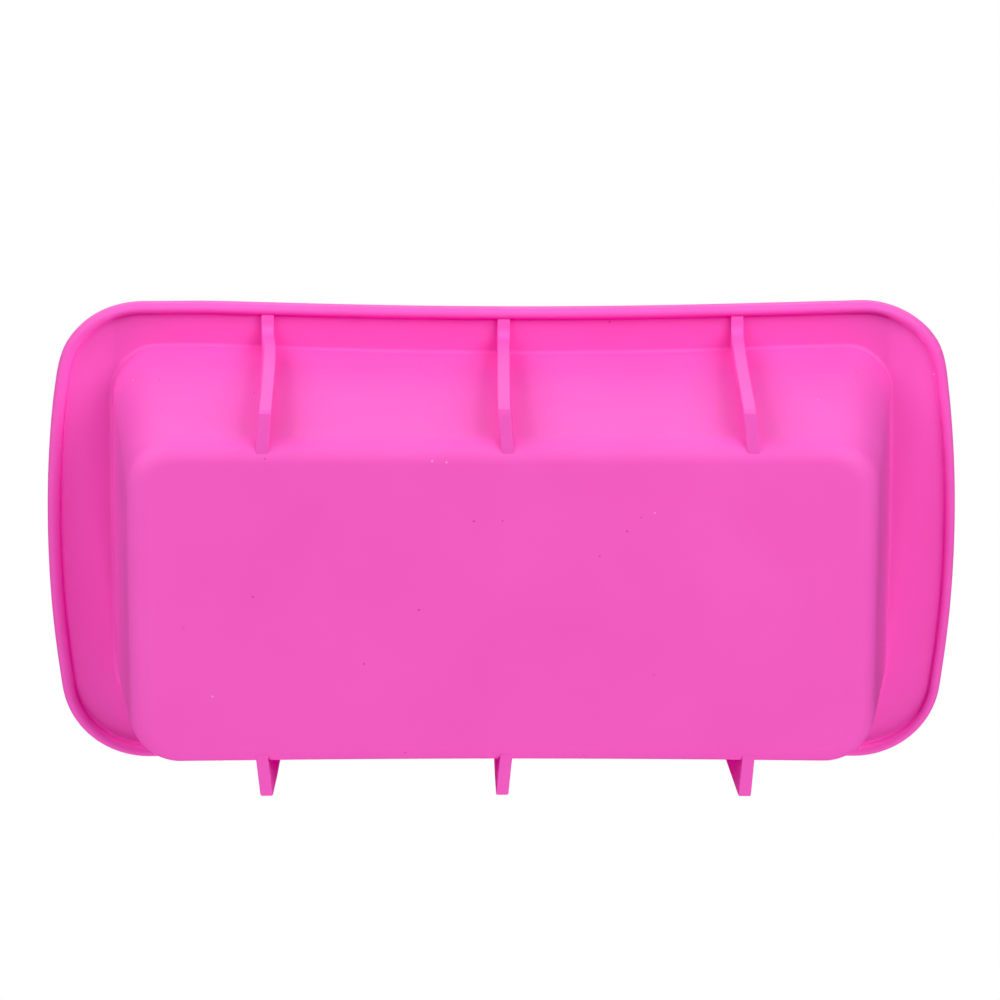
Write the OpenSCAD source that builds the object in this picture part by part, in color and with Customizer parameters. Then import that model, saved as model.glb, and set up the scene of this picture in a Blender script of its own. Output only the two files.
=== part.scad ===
// Soap loaf mould moulded in one shot of silicone: a flat-bottomed drafted tray with a broad
// flange around the mouth, a rounded bead that turns down along the flange's outer edge, and
// three thin plate ribs on each long side that double as feet.
// Frame: +Z up with the mouth on top, X along the loaf, Y across it. The base rests on Z = 0
// and the origin is the middle of the footprint. Units are millimetres.

/* [Rim] */
// Overall length over the bowed ends of the rim
rim_length = 270; // [262:1:280]
// Overall width across the straight long sides of the rim
rim_width = 144.2; // [138:0.2:150]
// Radius of the four rim corners
rim_corner_r = 26; // [20:0.5:32]
// Radius of the gently bowed ends of the rim
rim_end_r = 400; // [300:10:600]
// Thickness of the flat flange
flange_t = 2; // [1.6:0.1:2.4]
// Width of the edge bead
bead_w = 3.5; // [2.6:0.1:4]
// How far the bead turns down below the flange
bead_drop = 2.3; // [1.6:0.1:3]

/* [Tray] */
// Length of the flat part of the base
base_length = 203.4; // [197:0.2:209]
// Width of the flat part of the base
base_width = 85.8; // [81:0.2:91]
// Corner radius of the flat part of the base
base_corner_r = 7; // [5:0.2:9]
// Outer radius of the round between base and walls
edge_r = 7; // [5:0.1:8.5]
// Draft angle of the walls
draft = 6.7; // [5:0.1:8]
// Height of the flange's lower face above the table
tray_height = 64.5; // [58:0.5:72]
// Thickness of the walls and base
wall_t = 2.2; // [1.8:0.1:2.8]

/* [Ribs] */
// Distance of the outer ribs from the middle rib
rib_pitch = 70; // [55:0.5:78]
// Thickness of a rib
rib_t = 3.6; // [3:0.1:4.4]
// Distance from the centre line to a rib's outer edge at the flange
rib_top_y = 63; // [61.5:0.1:64]
// Distance from the centre line to a rib's foot corner
rib_foot_y = 59.2; // [56:0.1:60]
// Height of the foot corner above the table
rib_foot_z = 1; // [0.8:0.1:2]

/* [Hidden] */
$fn = 96;
silicone = "#f263c2";

// centres of the tray's four corners at the base; the walls lean out by lean on their way up
tray_x = base_length / 2 - base_corner_r;
tray_y = base_width / 2 - base_corner_r;
lean = (tray_height - edge_r) * tan(draft);

// wall section, measured outwards from those centres; corners keep one radius all the way up
inner_r = edge_r - wall_t;
out_r = base_corner_r + edge_r;
in_r = out_r - wall_t;
mouth_x = tray_x + lean;
mouth_y = tray_y + lean;

// rim outline: straight sides, corner arcs and end arcs that run into each other smoothly
rim_half_w = rim_width / 2;
end_x = rim_length / 2 - rim_end_r;
corner_y = rim_half_w - rim_corner_r;
corner_x = end_x + sqrt(pow(rim_end_r - rim_corner_r, 2) - pow(corner_y, 2));
end_angle = asin(corner_y / (rim_end_r - rim_corner_r));
top_z = tray_height + flange_t;

// ---- tray sections ----
module wall_section() {
  polygon([[out_r, edge_r], [out_r + lean, tray_height], [in_r + lean, tray_height],
           [in_r, edge_r]]);
}

module edge_section() {
  intersection() {
    translate([base_corner_r, edge_r]) difference() {
      circle(r = edge_r);
      circle(r = inner_r);
    }
    translate([base_corner_r, 0]) square(edge_r);
  }
}

// a straight run of a section, standing upright and facing -Y
module run_front(length, y) {
  translate([-length / 2, -y, 0]) rotate([90, 0, 90]) mirror([1, 0, 0])
    linear_extrude(height = length) children();
}

// a quarter turn of a section about the corner centre at +X +Y
module turn_corner() {
  translate([tray_x, tray_y, 0]) rotate_extrude(angle = 90) children();
}

// ---- base ----
module base_panel() {
  color(silicone) union() {
    translate([-tray_x, -tray_y - base_corner_r, 0])
      cube([2 * tray_x, 2 * tray_y + 2 * base_corner_r, wall_t]);
    for (s = [0, 1]) mirror([s, 0, 0]) translate([tray_x, -tray_y, 0])
      cube([base_corner_r, 2 * tray_y, wall_t]);
    for (a = [0, 1]) for (b = [0, 1]) mirror([a, 0, 0]) mirror([0, b, 0])
      turn_corner() square([base_corner_r, wall_t]);
    for (s = [0, 1]) mirror([0, s, 0]) run_front(2 * tray_x, tray_y) edge_section();
    for (s = [0, 180]) rotate([0, 0, 90 + s]) run_front(2 * tray_y, tray_x) edge_section();
    for (a = [0, 1]) for (b = [0, 1]) mirror([a, 0, 0]) mirror([0, b, 0])
      turn_corner() edge_section();
  }
}

// ---- walls ----
// a wall grows longer towards the mouth, because the corners move outwards with the draft
module wall(half_length, y) {
  intersection() {
    run_front(2 * (half_length + lean), y) wall_section();
    translate([0, 2 * rim_width, 0]) rotate([90, 0, 0]) linear_extrude(height = 4 * rim_width)
      polygon([[-half_length, edge_r], [half_length, edge_r],
               [half_length + lean, tray_height], [-half_length - lean, tray_height]]);
  }
}

// the drafted corner at +X +Y: an upright quarter tube leaned outwards both ways
module corner() {
  translate([tray_x, tray_y, edge_r])
    multmatrix([[1, 0, tan(draft), 0], [0, 1, tan(draft), 0], [0, 0, 1, 0], [0, 0, 0, 1]])
      rotate_extrude(angle = 90)
        translate([in_r, 0]) square([wall_t, tray_height - edge_r]);
}

module wall_front() {
  color(silicone) wall(tray_x, tray_y);
}

module wall_back() {
  color(silicone) mirror([0, 1, 0]) wall(tray_x, tray_y);
}

module wall_left() {
  color(silicone) rotate([0, 0, -90]) wall(tray_y, tray_x);
}

module wall_right() {
  color(silicone) rotate([0, 0, 90]) wall(tray_y, tray_x);
}

module corner_back_right() {
  color(silicone) corner();
}

module corner_back_left() {
  color(silicone) mirror([1, 0, 0]) corner();
}

module corner_front_right() {
  color(silicone) mirror([0, 1, 0]) corner();
}

module corner_front_left() {
  color(silicone) mirror([1, 0, 0]) mirror([0, 1, 0]) corner();
}

// ---- rim ----
// plan of the rim, set in from its outline by inset
module rim_plan(inset) {
  translate([-corner_x, -rim_half_w + inset]) square([2 * corner_x, rim_width - 2 * inset]);
  for (a = [-1, 1]) for (b = [-1, 1])
    translate([a * corner_x, b * corner_y]) circle(r = rim_corner_r - inset);
  for (a = [0, 1]) mirror([a, 0]) intersection() {
    translate([end_x, 0]) circle(r = rim_end_r - inset, $fn = 720);
    polygon([[0, -corner_y], [corner_x, -corner_y],
             [end_x + (rim_end_r + 9) * cos(end_angle), -(rim_end_r + 9) * sin(end_angle)],
             [end_x + (rim_end_r + 9) * cos(end_angle), (rim_end_r + 9) * sin(end_angle)],
             [corner_x, corner_y], [0, corner_y]]);
  }
}

// plan of the mouth opening
module mouth_plan() {
  polygon([for (k = [0 : 3]) for (a = [90 * k : 5 : 90 * k + 90])
    [((k == 0 || k == 3) ? mouth_x : -mouth_x) + in_r * cos(a),
     (k < 2 ? mouth_y : -mouth_y) + in_r * sin(a)]]);
}

module mouth_flange() {
  color(silicone) translate([0, 0, tray_height]) linear_extrude(height = flange_t)
    difference() {
      rim_plan(bead_w);
      mouth_plan();
    }
}

// bead section with a half-round crest, its outer face at x = r
module bead_section(r) {
  crest_z = tray_height - bead_drop + bead_w / 2;
  polygon([[r, top_z], [r - bead_w, top_z],
           for (a = [180 : 15 : 360])
             [r - bead_w / 2 + bead_w / 2 * cos(a), crest_z + bead_w / 2 * sin(a)]]);
}

module bead_front() {
  color(silicone) run_front(2 * corner_x, 0) bead_section(rim_half_w);
}

module bead_back() {
  color(silicone) mirror([0, 1, 0]) run_front(2 * corner_x, 0) bead_section(rim_half_w);
}

module bead_right() {
  color(silicone) translate([end_x, 0, 0]) rotate([0, 0, -end_angle])
    rotate_extrude(angle = 2 * end_angle, $fn = 720) bead_section(rim_end_r);
}

module bead_left() {
  color(silicone) mirror([1, 0, 0]) translate([end_x, 0, 0]) rotate([0, 0, -end_angle])
    rotate_extrude(angle = 2 * end_angle, $fn = 720) bead_section(rim_end_r);
}

// the bead around the corner at +X +Y
module bead_turn() {
  translate([corner_x, corner_y, 0]) rotate([0, 0, end_angle])
    rotate_extrude(angle = 90 - end_angle) bead_section(rim_corner_r);
}

module bead_corner_back_right() {
  color(silicone) bead_turn();
}

module bead_corner_back_left() {
  color(silicone) mirror([1, 0, 0]) bead_turn();
}

module bead_corner_front_right() {
  color(silicone) mirror([0, 1, 0]) bead_turn();
}

module bead_corner_front_left() {
  color(silicone) mirror([1, 0, 0]) mirror([0, 1, 0]) bead_turn();
}

// ---- ribs ----
// one rib at the given place along the front wall, from the bead down to the base round
module rib(x) {
  foot_end = tray_y + base_corner_r + 1.5;
  difference() {
    translate([x - rib_t / 2, 0, 0]) rotate([90, 0, 90]) mirror([1, 0, 0])
      linear_extrude(height = rib_t)
        polygon([[tray_y + out_r, edge_r], [mouth_y + out_r, tray_height],
                 [rim_half_w - bead_w, tray_height],
                 [rim_half_w - bead_w, tray_height - bead_drop + bead_w / 2],
                 [rib_top_y, tray_height - bead_drop + 0.3], [rib_foot_y, rib_foot_z],
                 [foot_end, rib_foot_z - 0.5], [foot_end, edge_r]]);
    translate([x - rib_t, -tray_y - base_corner_r, edge_r]) rotate([0, 90, 0])
      cylinder(r = edge_r, h = 2 * rib_t);
  }
}

module rib_front_left() {
  color(silicone) rib(-rib_pitch);
}

module rib_front_centre() {
  color(silicone) rib(0);
}

module rib_front_right() {
  color(silicone) rib(rib_pitch);
}

module rib_back_left() {
  color(silicone) mirror([0, 1, 0]) rib(-rib_pitch);
}

module rib_back_centre() {
  color(silicone) mirror([0, 1, 0]) rib(0);
}

module rib_back_right() {
  color(silicone) mirror([0, 1, 0]) rib(rib_pitch);
}

base_panel();
wall_front();
wall_back();
wall_left();
wall_right();
corner_front_left();
corner_front_right();
corner_back_left();
corner_back_right();
mouth_flange();
bead_front();
bead_back();
bead_left();
bead_right();
bead_corner_front_left();
bead_corner_front_right();
bead_corner_back_left();
bead_corner_back_right();
rib_front_left();
rib_front_centre();
rib_front_right();
rib_back_left();
rib_back_centre();
rib_back_right();
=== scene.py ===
import math

import bmesh
import bpy
import numpy as np
from mathutils import Matrix, Vector


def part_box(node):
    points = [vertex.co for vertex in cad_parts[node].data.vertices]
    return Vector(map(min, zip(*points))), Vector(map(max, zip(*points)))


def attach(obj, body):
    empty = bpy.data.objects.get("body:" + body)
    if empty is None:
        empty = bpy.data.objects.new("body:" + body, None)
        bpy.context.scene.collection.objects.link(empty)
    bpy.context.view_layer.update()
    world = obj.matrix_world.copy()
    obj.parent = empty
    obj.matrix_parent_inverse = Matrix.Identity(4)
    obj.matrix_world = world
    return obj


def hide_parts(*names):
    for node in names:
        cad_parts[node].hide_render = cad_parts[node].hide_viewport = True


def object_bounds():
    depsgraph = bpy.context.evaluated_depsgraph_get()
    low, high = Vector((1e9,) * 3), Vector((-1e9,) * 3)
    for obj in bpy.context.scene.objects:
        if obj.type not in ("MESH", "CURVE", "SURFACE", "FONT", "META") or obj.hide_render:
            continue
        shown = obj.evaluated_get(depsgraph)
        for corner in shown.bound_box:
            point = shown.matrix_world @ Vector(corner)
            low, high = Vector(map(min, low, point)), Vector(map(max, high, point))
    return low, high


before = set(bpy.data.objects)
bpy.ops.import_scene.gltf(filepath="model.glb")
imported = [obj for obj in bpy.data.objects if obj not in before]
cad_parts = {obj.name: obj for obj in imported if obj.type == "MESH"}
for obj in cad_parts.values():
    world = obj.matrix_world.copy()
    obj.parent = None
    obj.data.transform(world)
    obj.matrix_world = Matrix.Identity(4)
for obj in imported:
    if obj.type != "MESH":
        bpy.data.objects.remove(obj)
cad_low, cad_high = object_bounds()
MM = 0.001

# ---------------------------------------------------------------- sizes, in millimetres
# The main sizes come from the CAD nodes. The rest are the mould's own section sizes.
rim_half_l = cad_high[0] / MM
rim_half_w = cad_high[1] / MM
top_z = cad_high[2] / MM
under_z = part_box("mouth_flange")[0][2] / MM
bead_low_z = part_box("bead_front")[0][2] / MM
bead_w = (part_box("bead_front")[1][1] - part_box("bead_front")[0][1]) / MM
edge_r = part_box("base_panel")[1][2] / MM
mouth_half_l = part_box("wall_right")[1][0] / MM
mouth_half_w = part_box("wall_back")[1][1] / MM
flat_half_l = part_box("base_panel")[1][0] / MM - edge_r
flat_half_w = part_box("base_panel")[1][1] / MM - edge_r

wall_t = 2.2
rim_corner_r = 26.0
rim_end_r = 400.0       # the flange's bowed ends
flat_corner_r = 8.0     # corners of the flat underside
mouth_corner_r = 13.6   # corners of the outer wall where it meets the flange
wall_fillet_r = 1.3     # between the wall and the flange
bead_fillet_r = 0.8     # between the flange and the bead
top_edge_r = 0.5        # top outer edge of the rim
lip_r = 1.0             # inner edge of the mouth

# centres of the rim's end arcs and corner arcs, and the angle at which they meet
end_x = rim_half_l - rim_end_r
corner_y = rim_half_w - rim_corner_r
corner_x = end_x + math.sqrt((rim_end_r - rim_corner_r) ** 2 - corner_y**2)
end_angle = math.asin(corner_y / (rim_end_r - rim_corner_r))

# ---------------------------------------------------------------- stations round the mould
# Every outline has the same stations: half a long side, a corner and half a short side in the
# first quadrant, mirrored into the other three.
N_LONG, N_CORNER, N_SHORT = 30, 22, 14


def stations():
    """Each station's kind, its place from 0 to 1 along that kind, and its signs in x and y."""
    out_way = [("L", i / N_LONG) for i in range(N_LONG)]
    out_way += [("C", i / N_CORNER) for i in range(N_CORNER)]
    out_way += [("S", 1 - i / N_SHORT) for i in range(N_SHORT)]
    way_back = [("S", 0.0)] + out_way[:0:-1]
    out = [(k, t, 1, 1) for k, t in out_way]
    out += [(k, t, 1, -1) for k, t in way_back]
    out += [(k, t, -1, -1) for k, t in out_way]
    out += [(k, t, -1, 1) for k, t in way_back]
    return out


ST = stations()
N = len(ST)
KIND = np.array([s[0] for s in ST])
T = np.array([s[1] for s in ST], float)
SX = np.array([s[2] for s in ST], float)
SY = np.array([s[3] for s in ST], float)
is_l, is_c, is_s = KIND == "L", KIND == "C", KIND == "S"

# direction of the tray's and the rim's outward normal at each station, first quadrant
QUARTER = math.pi / 2
tray_a = np.where(is_l, 0.0, np.where(is_s, QUARTER, T * QUARTER))
TRAY_O = np.stack([np.sin(tray_a), np.cos(tray_a)], 1)
corner_phi = QUARTER - T * (QUARTER - end_angle)
rim_phi = np.where(is_l, QUARTER, np.where(is_s, T * end_angle, corner_phi))
RIM_O = np.stack([np.cos(rim_phi), np.sin(rim_phi)], 1)


def tray_plan(half_l, half_w, r):
    """Rounded rectangle of the tray at each station, first quadrant."""
    cx, cy = half_l - r, half_w - r
    x = np.where(is_l, T * cx, np.where(is_s, half_l, cx + r * np.sin(tray_a)))
    y = np.where(is_l, half_w, np.where(is_s, T * cy, cy + r * np.cos(tray_a)))
    return np.stack([x, y], 1)


# the bead is moulded a little wider at the left end and along the front
bead_scale = 1 - 0.11 * SX * RIM_O[:, 0] + 0.05 * np.where(SY < 0, 1, 0) * RIM_O[:, 1]


def rim_plan(inset):
    """The rim's outline, inward of its outer edge, at each station, first quadrant."""
    inset = inset * bead_scale
    r, re = rim_corner_r - inset, rim_end_r - inset
    cos, sin = np.cos(rim_phi), np.sin(rim_phi)
    x = np.where(is_l, T * corner_x, np.where(is_s, end_x + re * cos, corner_x + r * cos))
    y = np.where(is_l, rim_half_w - inset, np.where(is_s, re * sin, corner_y + r * sin))
    return np.stack([x, y], 1)


# ---------------------------------------------------------------- the wall's line
drop = under_z - edge_r
lean = mouth_half_w - (flat_half_w + edge_r)
tan_d = lean / drop                                          # draft of the flat walls
dr = (mouth_corner_r - (flat_corner_r + edge_r)) / drop      # growth of the corner radius
# outward travel per millimetre of height, which differs a little round the corners
slope = (TRAY_O[:, 0] + TRAY_O[:, 1]) * (tan_d - dr) + dr
root = np.sqrt(1 + slope**2)


def wall_plan(z, inward=0.0):
    """The wall's outline at height z (per station or one number), inward of the outer face."""
    z = np.broadcast_to(np.asarray(z, float), (N,))
    h = z - edge_r
    half_l = flat_half_l + edge_r + tan_d * h
    half_w = flat_half_w + edge_r + tan_d * h
    r = flat_corner_r + edge_r + dr * h
    p = tray_plan(half_l, half_w, r)
    return p - TRAY_O * (inward * root)[:, None]


# ---------------------------------------------------------------- profile of the whole skin
# The skin is a stack of rings, one point per station: up the outside, round the rim, and down the
# inside. The marks are the rings where one piece ends and the next begins.
class Ring:
    def __init__(self, plan, z, normal):
        self.p = np.column_stack([plan, np.broadcast_to(np.asarray(z, float), (N,))])
        self.n = normal


def normal(o, h, v):
    """Section normal (h outwards, v up) turned to each station's outward direction o."""
    h = np.broadcast_to(np.asarray(h, float), (N,))
    v = np.broadcast_to(np.asarray(v, float), (N,))
    n = np.column_stack([o * h[:, None], v])
    return n / np.linalg.norm(n, axis=1)[:, None]


DOWN = normal(TRAY_O, 0, -1)
UP = normal(TRAY_O, 0, 1)
delta = np.arctan(slope)

# how many steps each stretch of the section has
N_SPINE, N_EDGE, N_WALL, N_FILLET, N_FLANGE = 7, 10, 16, 7, 9
N_BEAD_FILLET, N_CREST, N_TOP_EDGE, N_LIP, N_INNER_EDGE = 5, 12, 5, 6, 8
outer_face_h = 1.0  # the bead's straight outer face, above its round crest


flat = tray_plan(flat_half_l, flat_half_w, flat_corner_r)


def spine_rings(z, n_vec):
    """Rings from the middle line of the flat base out to its edge."""
    spine = np.column_stack([np.minimum(flat[:, 0], flat_half_l - flat_half_w), np.zeros(N)])
    return [Ring(spine + (flat - spine) * (i / N_SPINE), z, n_vec) for i in range(N_SPINE)]


profile = []
mark = {}
# base: underside and rounded edge
profile += spine_rings(0.0, DOWN)
for i in range(N_EDGE + 1):
    a = -QUARTER + (QUARTER - delta) * (i / N_EDGE)
    z = edge_r + edge_r * np.sin(a)
    plan = flat + TRAY_O * (edge_r * np.cos(a))[:, None]
    if i == N_EDGE:
        plan = wall_plan(z)
        mark["base_out"] = len(profile)
    profile.append(Ring(plan, z, normal(TRAY_O, np.cos(a), np.sin(a))))
# outer wall
wall_low = edge_r - edge_r * np.sin(delta)
fz = under_z - wall_fillet_r
f_centre = wall_plan(fz) + TRAY_O * (wall_fillet_r * root)[:, None]
wall_high = fz + wall_fillet_r * slope / root
for i in range(1, N_WALL):
    z = wall_low + (wall_high - wall_low) * i / N_WALL
    profile.append(Ring(wall_plan(z), z, normal(TRAY_O, 1, -slope)))
# fillet under the flange, then the flange's underside
mark["wall_out"] = len(profile)
for i in range(N_FILLET + 1):
    a = -delta + (-QUARTER + delta) * (i / N_FILLET)
    plan = f_centre - TRAY_O * (wall_fillet_r * np.cos(a))[:, None]
    z = fz - wall_fillet_r * np.sin(a)
    profile.append(Ring(plan, z, normal(TRAY_O, np.cos(a), np.sin(a))))
inner_under = profile[-1].p[:, :2]
bead_line = rim_plan(bead_w + bead_fillet_r)
for i in range(1, N_FLANGE):
    k = i / N_FLANGE
    profile.append(Ring(inner_under + (bead_line - inner_under) * k, under_z, DOWN))
# bead: inner fillet, crest, outer face
mark["bead_in"] = len(profile)
for i in range(N_BEAD_FILLET + 1):
    a = -QUARTER - QUARTER * (i / N_BEAD_FILLET)
    inset = bead_w + bead_fillet_r + bead_fillet_r * math.cos(a)
    z = under_z - bead_fillet_r - bead_fillet_r * math.sin(a)
    profile.append(Ring(rim_plan(inset), z, normal(RIM_O, math.cos(a), math.sin(a))))
crest_r = bead_w / 2
crest_z = bead_low_z + crest_r
for i in range(N_CREST + 1):
    a = math.pi + math.pi * i / N_CREST
    inset = crest_r - crest_r * math.cos(a)
    profile.append(Ring(rim_plan(inset), crest_z + crest_r * math.sin(a),
                        normal(RIM_O, math.cos(a), math.sin(a))))
profile.append(Ring(rim_plan(0), crest_z + outer_face_h, normal(RIM_O, 1, 0)))
for i in range(N_TOP_EDGE + 1):
    a = QUARTER * i / N_TOP_EDGE
    profile.append(Ring(rim_plan(top_edge_r - top_edge_r * math.cos(a)),
                        top_z - top_edge_r + top_edge_r * math.sin(a),
                        normal(RIM_O, math.cos(a), math.sin(a))))
mark["bead_top"] = len(profile)
profile.append(Ring(bead_line, top_z, UP))
# flange top and the lip of the mouth
lz = top_z - lip_r
l_centre = wall_plan(lz, wall_t) + TRAY_O * (lip_r * root)[:, None]
for i in range(1, N_FLANGE):
    profile.append(Ring(bead_line + (l_centre - bead_line) * (i / N_FLANGE), top_z, UP))
for i in range(N_LIP + 1):
    a = QUARTER + (QUARTER - delta) * (i / N_LIP)
    profile.append(Ring(l_centre + TRAY_O * (lip_r * np.cos(a))[:, None],
                        lz + lip_r * np.sin(a), normal(TRAY_O, np.cos(a), np.sin(a))))
# inner wall, same levels as the outer one, from the top down
in_r = edge_r - wall_t
in_low = edge_r - in_r * np.sin(delta)
mark["wall_in"] = len(profile)
for i in range(N_WALL + 1):
    z = in_low + (wall_high - in_low) * (1 - i / N_WALL)
    profile.append(Ring(wall_plan(z, wall_t), z, normal(TRAY_O, -1, slope)))
# inner round and floor
mark["base_in"] = len(profile) - 1
for i in range(1, N_INNER_EDGE + 1):
    a = -delta + (-QUARTER + delta) * (i / N_INNER_EDGE)
    profile.append(Ring(flat + TRAY_O * (in_r * np.cos(a))[:, None], edge_r + in_r * np.sin(a),
                        normal(TRAY_O, -np.cos(a), -np.sin(a))))
profile += [Ring(r.p[:, :2], wall_t, UP) for r in reversed(spine_rings(wall_t, UP))]

P = np.array([r.p for r in profile])
NRM = np.array([r.n for r in profile])
P[:, :, 0] *= SX
P[:, :, 1] *= SY
NRM[:, :, 0] *= SX
NRM[:, :, 1] *= SY
K = len(profile)


# ---------------------------------------------------------------- how the soft mould has settled
def bump_at(x, y, x0, y0, spread):
    """A smooth round hill, 1 high at (x0, y0)."""
    return np.exp(-((x - x0) ** 2 + (y - y0) ** 2) / (2 * spread**2))


def settle(p):
    """The soft silicone's own shape. The long sides pull in towards the middle of the mouth, and
    the back one does so a little at the base. The front wall stands out at the mouth. The front
    corners of the rim droop inwards, the left one is slightly dented, and the back ones tuck in."""
    q = np.array(p, float)
    x, y, z = q[..., 0], q[..., 1], q[..., 2]
    across = np.abs(y)
    foot_z = 4.0                    # below this the tray keeps its shape
    front_mid_x = 11.0              # the front's deepest sag is a little right of the middle
    up = np.clip((z - foot_z) / (under_z - foot_z), 0, 1.05)
    front = y < 0
    along = np.clip(np.abs(x - np.where(front, front_mid_x, 0.0)) / 100.0, 0, 1)
    belly = (1 - along**2) ** 1.2
    side = np.clip(across / mouth_half_w, 0, 1) ** 2
    pull = np.where(front, 2.0, 0.9) * up**1.1 * belly * side
    waist = np.where(front, 0.0, 1.0 * belly - 0.55) * (1 - up) * side
    on_flange = np.clip((across - mouth_half_w) / (rim_half_w - mouth_half_w), 0, 1)
    bow = np.clip(np.abs(x) / 75.0, 0, 1.2) ** 2
    stand_out = np.where(front, 0.85 + 0.42 * bow, 0.0) * up**1.5 * side * (1 - on_flange)
    rim_in = np.where(front, 0.42 - 0.0017 * x, 0.0) * on_flange
    droop = bump_at(np.abs(x), y, 116, -62, 20.0) * up
    dent = bump_at(x, y, -130, -60, 9.0) * up
    tuck = bump_at(np.abs(x), y, 126, 50, 13.0) * up
    q[..., 0] = x - np.sign(x) * (0.75 * droop + 0.6 * dent + 0.3 * tuck)
    q[..., 1] = y - np.sign(y) * (pull + waist + rim_in - stand_out) + 0.25 * (droop + tuck)
    return q


def settled_normals(p, n):
    """The normals after settling, from the slope of settle() at each point."""
    eps = 0.2
    j = np.zeros(p.shape[:-1] + (3, 3))
    for c in range(3):
        d = np.zeros(3)
        d[c] = eps
        j[..., :, c] = (settle(p + d) - settle(p - d)) / (2 * eps)
    inv_t = np.swapaxes(np.linalg.inv(j), -1, -2)
    m = np.einsum("...ij,...j->...i", inv_t, n)
    return m / np.linalg.norm(m, axis=-1)[..., None]


NRM = settled_normals(P, NRM)
P = settle(P)

# ---------------------------------------------------------------- mesh from parts of the skin
material = bpy.data.materials.new("silicone_pink")


def add_piece(mesh, node):
    """Puts a finished mesh in the scene as the visible piece of a CAD node."""
    obj = bpy.data.objects.new(mesh.name, mesh)
    bpy.context.scene.collection.objects.link(obj)
    mesh.materials.append(material)
    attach(obj, "root")
    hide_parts(node)


def make_piece(name, grids, caps, node):
    """A closed piece of the skin. grids: (k0, k1, i0, i1) ranges of rings and stations, which take
    the skin's own normals. caps: loops of (ring, station) that close it, flat."""
    index, verts, norms = {}, [], []

    def vert(k, i):
        key = (k, i % N)
        if k in (0, K - 1):
            # the middle line of the base, where stations share a point
            key = (k, *np.round(P[k, i % N], 4))
        if key not in index:
            index[key] = len(verts)
            verts.append(tuple(P[k, i % N] * MM))
            norms.append(tuple(NRM[k, i % N]))
        return index[key]

    faces, skin = [], []
    for k0, k1, i0, i1 in grids:
        for k in range(k0, k1):
            for i in range(i0, i1):
                faces.append([vert(k, i), vert(k, i + 1), vert(k + 1, i + 1), vert(k + 1, i)])
                skin.append(True)
    for loop in caps:
        faces.append([vert(k, i) for k, i in loop])
        skin.append(False)
    bm = bmesh.new()
    tag = bm.faces.layers.int.new("skin")
    vid = bm.verts.layers.int.new("vid")
    bv = [bm.verts.new(v) for v in verts]
    for n, v in enumerate(bv):
        v[vid] = n
    for f, s in zip(faces, skin):
        pts = list(dict.fromkeys(f))  # without repeats
        if len(pts) < 3:
            continue
        face = bm.faces.new([bv[n] for n in pts])
        face[tag] = int(s)
        face.smooth = True
    bmesh.ops.recalc_face_normals(bm, faces=bm.faces)
    total = 0.0
    for face in bm.faces:
        if face[tag]:
            total += face.normal.dot(Vector(norms[face.verts[0][vid]])) * face.calc_area()
    if total < 0:
        bmesh.ops.reverse_faces(bm, faces=bm.faces)
    bm.normal_update()
    loop_normals = []
    for face in bm.faces:
        for lp in face.loops:
            if face[tag]:
                loop_normals.append(tuple(norms[lp.vert[vid]]))
            else:
                loop_normals.append(tuple(face.normal))
    mesh = bpy.data.meshes.new(name)
    bm.to_mesh(mesh)
    bm.free()
    mesh.normals_split_custom_set(loop_normals)
    for layer in ("skin", "vid"):
        if layer in mesh.attributes:
            mesh.attributes.remove(mesh.attributes[layer])
    add_piece(mesh, node)


base_out, wall_out, bead_in = mark["base_out"], mark["wall_out"], mark["bead_in"]
bead_top, wall_in, base_in = mark["bead_top"], mark["wall_in"], mark["base_in"]


def across_skin(k0, k1, i):
    """The cap that joins ring k0 to ring k1 between stations i and i + 1."""
    return [(k0, i), (k0, i + 1), (k1, i + 1), (k1, i)]


# base: underside, edge round, inner round and floor, closed by the ring between wall faces
caps = [across_skin(base_out, base_in, i) for i in range(N)]
make_piece("base_panel_skin", [(0, base_out, 0, N), (base_in, K - 1, 0, N)], caps, "base_panel")

# walls and corners
Q = N // 4
spans = {
    "wall_back": (-N_LONG, N_LONG),
    "corner_back_right": (N_LONG, N_LONG + N_CORNER),
    "wall_right": (N_LONG + N_CORNER, N_LONG + N_CORNER + 2 * N_SHORT),
    "corner_front_right": (Q + N_SHORT, Q + N_SHORT + N_CORNER),
    "wall_front": (2 * Q - N_LONG, 2 * Q + N_LONG),
    "corner_front_left": (2 * Q + N_LONG, 2 * Q + N_LONG + N_CORNER),
    "wall_left": (2 * Q + N_LONG + N_CORNER, 2 * Q + N_LONG + N_CORNER + 2 * N_SHORT),
    "corner_back_left": (3 * Q + N_SHORT, 3 * Q + N_SHORT + N_CORNER),
}
for name, (i0, i1) in spans.items():
    caps = []
    for i in range(i0, i1):
        caps.append(across_skin(base_out, base_in, i))
        caps.append(across_skin(wall_out, wall_in, i))
    for i in (i0, i1):
        for s in range(N_WALL):
            lo, li = base_out + s, base_in - s
            caps.append([(lo, i), (lo + 1, i), (li - 1, i), (li, i)])
    grids = [(base_out, wall_out, i0, i1), (wall_in, base_in, i0, i1)]
    make_piece(name + "_skin", grids, caps, name)

# flange
caps = []
for i in range(N):
    caps.append(across_skin(wall_out, wall_in, i))
    caps.append(across_skin(bead_in, bead_top, i))
grids = [(wall_out, bead_in, 0, N), (bead_top, wall_in, 0, N)]
make_piece("mouth_flange_skin", grids, caps, "mouth_flange")

# bead
for name, (i0, i1) in spans.items():
    node = "bead_" + name.replace("wall_", "")
    caps = [across_skin(bead_in, bead_top, i) for i in range(i0, i1)]
    for i in (i0, i1):
        caps.append([(k, i) for k in range(bead_in, bead_top + 1)])
    make_piece(node + "_skin", [(bead_in, bead_top, i0, i1)], caps, node)


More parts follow.
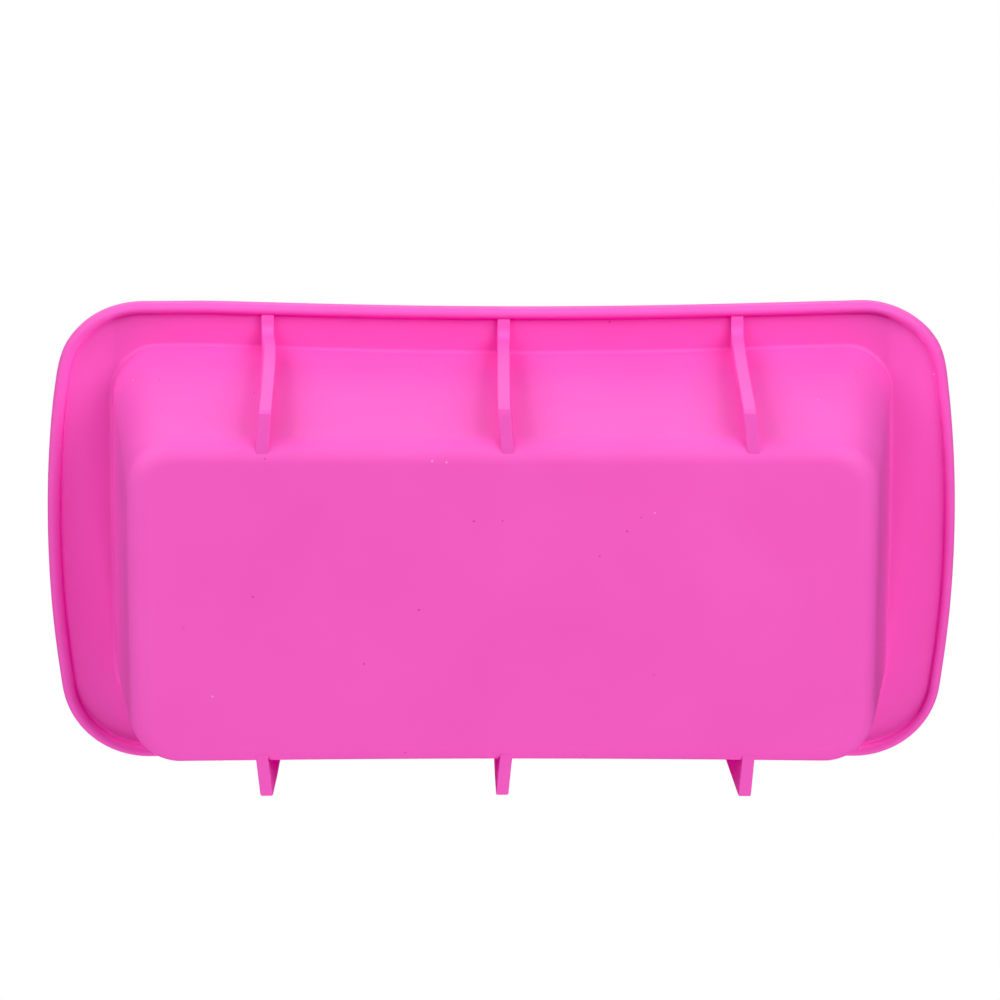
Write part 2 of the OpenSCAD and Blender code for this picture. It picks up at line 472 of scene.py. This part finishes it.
# ---------------------------------------------------------------- ribs
def polyline(points, radii, steps=6):
    """Points along a polyline, with each inner corner rounded by its radius."""
    out = [np.array(points[0], float)]
    for a, b, c, r in zip(points[:-2], points[1:-1], points[2:], radii):
        a, b, c = (np.array(p, float) for p in (a, b, c))
        u, v = (a - b) / np.linalg.norm(a - b), (c - b) / np.linalg.norm(c - b)
        if r <= 0:
            out.append(b)
            continue
        for s in range(steps + 1):
            k = s / steps
            out.append(b + u * r * (1 - k) ** 2 + v * r * k**2)
    out.append(np.array(points[-1], float))
    return out


def resample(points, n):
    """n points evenly spaced along a line."""
    pts = np.array(points)
    d = np.concatenate([[0], np.cumsum(np.linalg.norm(np.diff(pts, axis=0), axis=1))])
    s = np.linspace(0, d[-1], n)
    return np.stack([np.interp(s, d, pts[:, c]) for c in range(2)], 1)


def make_rib(node, side, at_wall, at_edge, foot_y, foot_r):
    """One rib as a thin plate, side -1 at the front. at_wall gives x along the wall, at the flange
    and at the foot. at_edge gives x along the free edge: at the bead, a fifth, a half and three
    quarters of the way down, at the foot corner, and where the foot runs into the base."""
    low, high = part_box(node)
    half_t = (high[0] - low[0]) / MM / 2
    bevel = 0.4
    rows, cols, arc = 64, 12, 5
    bead_y = rim_half_w - bead_w
    rib_top_y = 63.2
    foot_z, foot_root_z = 0.95, 1.6
    foot_end = flat_half_w + 2.7
    # the plate is sunk this far into the flange and into the wall
    sunk_up, sunk_in = 1.2, 1.2

    def wall_y(z):
        return flat_half_w + edge_r + tan_d * (z - edge_r)

    edge = polyline([(bead_y + 0.5, under_z + sunk_up), (bead_y + 0.5, bead_low_z + 1.0),
                     (bead_y - 0.6, bead_low_z + 0.5), (rib_top_y, bead_low_z + 0.2),
                     (foot_y, foot_z), (foot_end, foot_z)], [0, 0.5, 3.2, foot_r])
    wall = polyline([(wall_y(under_z) - sunk_in, under_z + sunk_up),
                     (wall_y(edge_r) - sunk_in - 0.2, edge_r),
                     (foot_end + 0.4, foot_root_z)], [0])
    edge, wall = resample(edge, rows), resample(wall, rows)
    # how far each row's free end has come: 0 at the bead, 1 at the foot corner, 2 at the base
    down = np.clip((bead_low_z - edge[:, 1]) / (bead_low_z - foot_z), 0, 1)
    inward = np.clip((foot_y - edge[:, 0]) / (foot_y - foot_end), 0, 1)
    on_foot = down > 0.985
    way = np.where(on_foot, 1 + inward, down)
    x_edge = np.interp(way, [0, 0.2, 0.46, 0.73, 1.0, 2.0], at_edge)
    x_wall = np.interp(wall[:, 1], [0, under_z], [at_wall[1], at_wall[0]])

    # one row's section: out along one side, round the bevelled edge, and back along the other
    ring = [(c / cols, None, -1.0) for c in range(cols)]
    ring += [(None, -QUARTER * (1 - s / (arc - 1)), -1.0) for s in range(arc)]
    ring += [(None, QUARTER * s / (arc - 1), 1.0) for s in range(arc)]
    ring += [(1 - (c + 1) / cols, None, 1.0) for c in range(cols)]
    verts = []
    for wi, ei, xw, xe in zip(wall, edge, x_wall, x_edge):
        span = np.linalg.norm(ei - wi)
        for t, a, sign in ring:
            if a is None:
                reach, x = t * (span - bevel), sign * half_t
            else:
                reach = span - bevel + bevel * math.cos(a)
                x = sign * (half_t - bevel) + bevel * math.sin(a)
            k = reach / span
            q = wi + (ei - wi) * k
            verts.append((x + xw + (xe - xw) * k, q[0] * side, q[1]))
    verts = settle(np.array(verts)) * MM
    m = len(ring)
    faces = []
    for r in range(rows - 1):
        for c in range(m):
            a, b = r * m + c, r * m + (c + 1) % m
            faces.append([a, b, b + m, a + m])
    for first in (0, (rows - 1) * m):
        for c in range(m // 2 - 1):
            faces.append([first + c, first + c + 1, first + m - 2 - c, first + m - 1 - c])
    bm = bmesh.new()
    bv = [bm.verts.new(tuple(v)) for v in verts]
    for f in faces:
        bm.faces.new([bv[i] for i in f])
    bmesh.ops.recalc_face_normals(bm, faces=bm.faces)
    if bm.calc_volume(signed=True) < 0:
        bmesh.ops.reverse_faces(bm, faces=bm.faces)
    mesh = bpy.data.meshes.new(node + "_plate")
    bm.to_mesh(mesh)
    bm.free()
    mesh.polygons.foreach_set("use_smooth", [True] * len(mesh.polygons))
    mesh.set_sharp_from_angle(angle=math.radians(50))
    add_piece(mesh, node)


# a soft mould's ribs never stand quite straight: each leans and curls its own way
make_rib("rib_front_left", -1, (-68.8, -69.2),
         (-68.9, -67.9, -67.7, -67.8, -67.9, -69.0), 59.2, 1.1)
make_rib("rib_front_centre", -1, (0.5, 1.7), (0.6, 0.5, 0.4, 0.4, 0.4, 1.6), 60.0, 1.1)
make_rib("rib_front_right", -1, (69.4, 72.1), (69.4, 69.5, 69.8, 70.3, 70.7, 72.1), 59.2, 1.1)
make_rib("rib_back_left", 1, (-68.9, -70.2), (-68.2, -67.4, -67.3, -67.9, -68.7, -70.1), 59.5, 0.5)
make_rib("rib_back_centre", 1, (0.4, 1.4), (0.1, -0.5, -0.5, -0.3, 0.0, 1.3), 59.7, 0.5)
make_rib("rib_back_right", 1, (69.3, 71.9), (68.3, 67.8, 68.2, 69.5, 70.8, 71.9), 59.6, 0.5)


# ---------------------------------------------------------------- material
def clear_nodes(owner):
    """Turns on an empty node tree and gives its two makers."""
    owner.use_nodes = True
    tree = owner.node_tree
    tree.nodes.clear()
    return tree.nodes.new, tree.links.new


def build_silicone(mat):
    """Satin silicone. Every scale is per metre, and every bump in metres."""
    new, link = clear_nodes(mat)
    out = new("ShaderNodeOutputMaterial")
    bsdf = new("ShaderNodeBsdfPrincipled")
    link(bsdf.outputs["BSDF"], out.inputs["Surface"])
    bsdf.inputs["IOR"].default_value = 1.41
    bsdf.inputs["Specular IOR Level"].default_value = 0.32
    coord = new("ShaderNodeTexCoord")

    def texture(kind, scale, detail=None):
        node = new(kind)
        node.inputs["Scale"].default_value = scale
        if detail is not None:
            node.inputs["Detail"].default_value = detail
        link(coord.outputs["Object"], node.inputs["Vector"])
        return node

    def times(a, b):
        node = new("ShaderNodeMath")
        node.operation = "MULTIPLY"
        link(a, node.inputs[0])
        if isinstance(b, float):
            node.inputs[1].default_value = b
        else:
            link(b, node.inputs[1])
        return node.outputs["Value"]

    # pigment: broad faint clouds
    cloud = texture("ShaderNodeTexNoise", 22.0, 3.0)
    pink = new("ShaderNodeValToRGB")
    pink.color_ramp.elements[0].position = 0.3
    pink.color_ramp.elements[0].color = (0.90, 0.118, 0.537, 1)
    pink.color_ramp.elements[1].position = 0.7
    pink.color_ramp.elements[1].color = (0.93, 0.129, 0.568, 1)
    link(cloud.outputs["Fac"], pink.inputs["Fac"])
    # sparse specks, dark pigment or pale dust, about half a millimetre across
    speck = texture("ShaderNodeTexVoronoi", 250.0)
    dot = new("ShaderNodeMapRange")
    dot.inputs["From Min"].default_value = 0.05
    dot.inputs["From Max"].default_value = 0.09
    dot.inputs["To Min"].default_value = 1.0
    dot.inputs["To Max"].default_value = 0.0
    link(speck.outputs["Distance"], dot.inputs["Value"])
    cell = new("ShaderNodeSeparateColor")
    link(speck.outputs["Color"], cell.inputs["Color"])
    has_speck = new("ShaderNodeMath")
    has_speck.operation = "GREATER_THAN"
    has_speck.inputs[1].default_value = 0.93
    link(cell.outputs["Red"], has_speck.inputs[0])
    amount = times(times(dot.outputs["Result"], has_speck.outputs["Value"]), 0.6)
    tone = new("ShaderNodeValToRGB")
    tone.color_ramp.interpolation = "CONSTANT"
    tone.color_ramp.elements[0].color = (0.30, 0.02, 0.14, 1)
    tone.color_ramp.elements[1].position = 0.75
    tone.color_ramp.elements[1].color = (1.0, 0.55, 0.70, 1)
    link(cell.outputs["Green"], tone.inputs["Fac"])
    colour = new("ShaderNodeMix")
    colour.data_type = "RGBA"
    mix_factor, mix_a, mix_b, mix_result = 0, 6, 7, 2  # a colour Mix's sockets, by number
    link(amount, colour.inputs[mix_factor])
    link(pink.outputs["Color"], colour.inputs[mix_a])
    link(tone.outputs["Color"], colour.inputs[mix_b])
    link(colour.outputs[mix_result], bsdf.inputs["Base Color"])
    # roughness: satin with slightly rubbed patches
    patch = texture("ShaderNodeTexNoise", 60.0, 4.0)
    rough = new("ShaderNodeMapRange")
    rough.inputs["To Min"].default_value = 0.48
    rough.inputs["To Max"].default_value = 0.60
    link(patch.outputs["Fac"], rough.inputs["Value"])
    link(rough.outputs["Result"], bsdf.inputs["Roughness"])
    # bump: fine moulded grain
    grain = texture("ShaderNodeTexNoise", 2600.0, 2.0)
    bump = new("ShaderNodeBump")
    bump.inputs["Strength"].default_value = 0.08
    bump.inputs["Distance"].default_value = 0.0002
    link(grain.outputs["Fac"], bump.inputs["Height"])
    link(bump.outputs["Normal"], bsdf.inputs["Normal"])


build_silicone(material)

# ---------------------------------------------------------------- stage
# The floor lies just under the base. The photograph looks at the mould from below, so the floor
# shows only from above, and takes no light away from the underside.
floor_half, floor_z = 1.4, -0.0003
fade_from, fade_to = 0.3, 1.3
floor_mesh = bpy.data.meshes.new("floor")
floor_mesh.from_pydata(
    [(-floor_half, -floor_half, floor_z), (floor_half, -floor_half, floor_z),
     (floor_half, floor_half, floor_z), (-floor_half, floor_half, floor_z)], [], [(0, 1, 2, 3)])
floor = bpy.data.objects.new("floor", floor_mesh)
bpy.context.scene.collection.objects.link(floor)


def build_floor(mat):
    """Pale grey, clear from below, and fading out into the white backdrop far from the mould."""
    new, link = clear_nodes(mat)
    out = new("ShaderNodeOutputMaterial")
    mix = new("ShaderNodeMixShader")
    side = new("ShaderNodeNewGeometry")
    pale = new("ShaderNodeBsdfDiffuse")
    pale.inputs["Color"].default_value = (0.86, 0.86, 0.86, 1)
    clear = new("ShaderNodeBsdfTransparent")
    coord = new("ShaderNodeTexCoord")
    reach = new("ShaderNodeVectorMath")
    reach.operation = "LENGTH"
    fade = new("ShaderNodeMapRange")
    fade.interpolation_type = "SMOOTHSTEP"
    fade.inputs["From Min"].default_value = fade_from
    fade.inputs["From Max"].default_value = fade_to
    either = new("ShaderNodeMath")
    either.operation = "MAXIMUM"
    link(coord.outputs["Object"], reach.inputs[0])
    link(reach.outputs["Value"], fade.inputs["Value"])
    link(fade.outputs["Result"], either.inputs[0])
    link(side.outputs["Backfacing"], either.inputs[1])
    link(either.outputs["Value"], mix.inputs["Fac"])
    link(pale.outputs["BSDF"], mix.inputs[1])
    link(clear.outputs["BSDF"], mix.inputs[2])
    link(mix.outputs["Shader"], out.inputs["Surface"])


floor_mat = bpy.data.materials.new("floor_pale")
build_floor(floor_mat)
floor_mesh.materials.append(floor_mat)
floor.visible_diffuse = False
floor.visible_glossy = False
floor.visible_transmission = False
floor.visible_shadow = False


def build_world(world):
    """A white backdrop that lights the mould only faintly."""
    new, link = clear_nodes(world)
    out = new("ShaderNodeOutputWorld")
    mix = new("ShaderNodeMixShader")
    path = new("ShaderNodeLightPath")
    link(path.outputs["Is Camera Ray"], mix.inputs["Fac"])
    for socket, strength in ((1, 0.03), (2, 1.0)):  # as a light, then as what the camera sees
        white = new("ShaderNodeBackground")
        white.inputs["Color"].default_value = (1, 1, 1, 1)
        white.inputs["Strength"].default_value = strength
        link(white.outputs["Background"], mix.inputs[socket])
    link(mix.outputs["Shader"], out.inputs["Surface"])


world = bpy.data.worlds.new("studio")
bpy.context.scene.world = world
build_world(world)

centre = Vector((0, 0, under_z * MM))
lamp_distance = 1.6


def toward(azimuth, elevation):
    """Direction to a lamp round the underside: azimuth from +X towards -Y, elevation towards -Z."""
    az, down = math.radians(azimuth), math.radians(elevation)
    return (math.cos(down) * math.cos(az), -math.cos(down) * math.sin(az), -math.sin(down))


def softbox(name, direction, size_x, size_y, power, glossy=True):
    light = bpy.data.lights.new(name, "AREA")
    light.shape = "RECTANGLE"
    light.size = size_x
    light.size_y = size_y
    light.energy = power
    obj = bpy.data.objects.new(name, light)
    bpy.context.scene.collection.objects.link(obj)
    d = Vector(direction).normalized()
    obj.location = centre + d * lamp_distance
    obj.rotation_euler = d.to_track_quat("Z", "Y").to_euler()
    obj.visible_glossy = glossy


softbox("right", toward(0, 10), 1.0, 1.0, 2.5)
softbox("front_right_low", toward(45, 12), 1.0, 1.0, 7.0)
softbox("front_right", toward(45, 40), 1.0, 1.0, 13.0)
softbox("front", toward(90, 35), 1.0, 1.0, 3.2)
softbox("front_left_low", toward(135, 6), 1.0, 1.0, 11.7)
softbox("front_left", toward(135, 40), 1.0, 1.0, 7.0)
softbox("left", toward(180, 8), 1.0, 1.0, 4.2)
softbox("back_left", toward(225, 45), 1.0, 1.0, 2.1)
softbox("back_right", toward(315, 45), 1.0, 1.0, 1.8)
softbox("back", toward(270, 16), 0.3, 1.0, 21.5, glossy=False)
softbox("front_high", (0, -0.5, 1.0), 2.0, 2.0, 14.6)
softbox("overhead", (0, 0, 1.0), 1.0, 1.0, 16.2, glossy=False)

# ---------------------------------------------------------------- camera at the photograph's angle
# The mould lies on its back wall there, so the directions are worked out with -Y up and -Z
# towards the camera, and then turned into the CAD's own frame.
el, yaw, roll = math.radians(20.0), math.radians(0.3), math.radians(-0.08)
camera_distance, lens_mm = 1.962, 237.1
aim_right, aim_up = -0.0004, 0.0090


def to_cad(v):
    return Vector((v[0], -v[1], -v[2]))


ez = Vector((-math.sin(yaw) * math.cos(el), math.sin(el), math.cos(yaw) * math.cos(el)))
ey = Vector((math.sin(yaw) * math.sin(el), math.cos(el), -math.cos(yaw) * math.sin(el)))
ex = Vector((math.cos(yaw), 0, math.sin(yaw)))
right = to_cad(ex * math.cos(roll) - ey * math.sin(roll))
up = to_cad(ex * math.sin(roll) + ey * math.cos(roll))
eye = to_cad(ez) * camera_distance + centre
aim = centre + right * aim_right + up * aim_up
back = (eye - aim).normalized()
right = up.cross(back).normalized()
up = back.cross(right).normalized()
cam_data = bpy.data.cameras.new("camera")
cam_data.sensor_width = 36.0
cam_data.lens = lens_mm
cam_data.clip_end = 50.0
cam = bpy.data.objects.new("camera", cam_data)
bpy.context.scene.collection.objects.link(cam)
cam.matrix_world = Matrix((
    (right.x, up.x, back.x, eye.x),
    (right.y, up.y, back.y, eye.y),
    (right.z, up.z, back.z, eye.z),
    (0, 0, 0, 1),
))
bpy.context.scene.camera = cam
view = bpy.context.scene.view_settings
view.view_transform = "Standard"
# slightly deeper blacks, as product photographs have
view.use_curve_mapping = True
view.curve_mapping.black_level = (0.02, 0.02, 0.02)
view.curve_mapping.update()
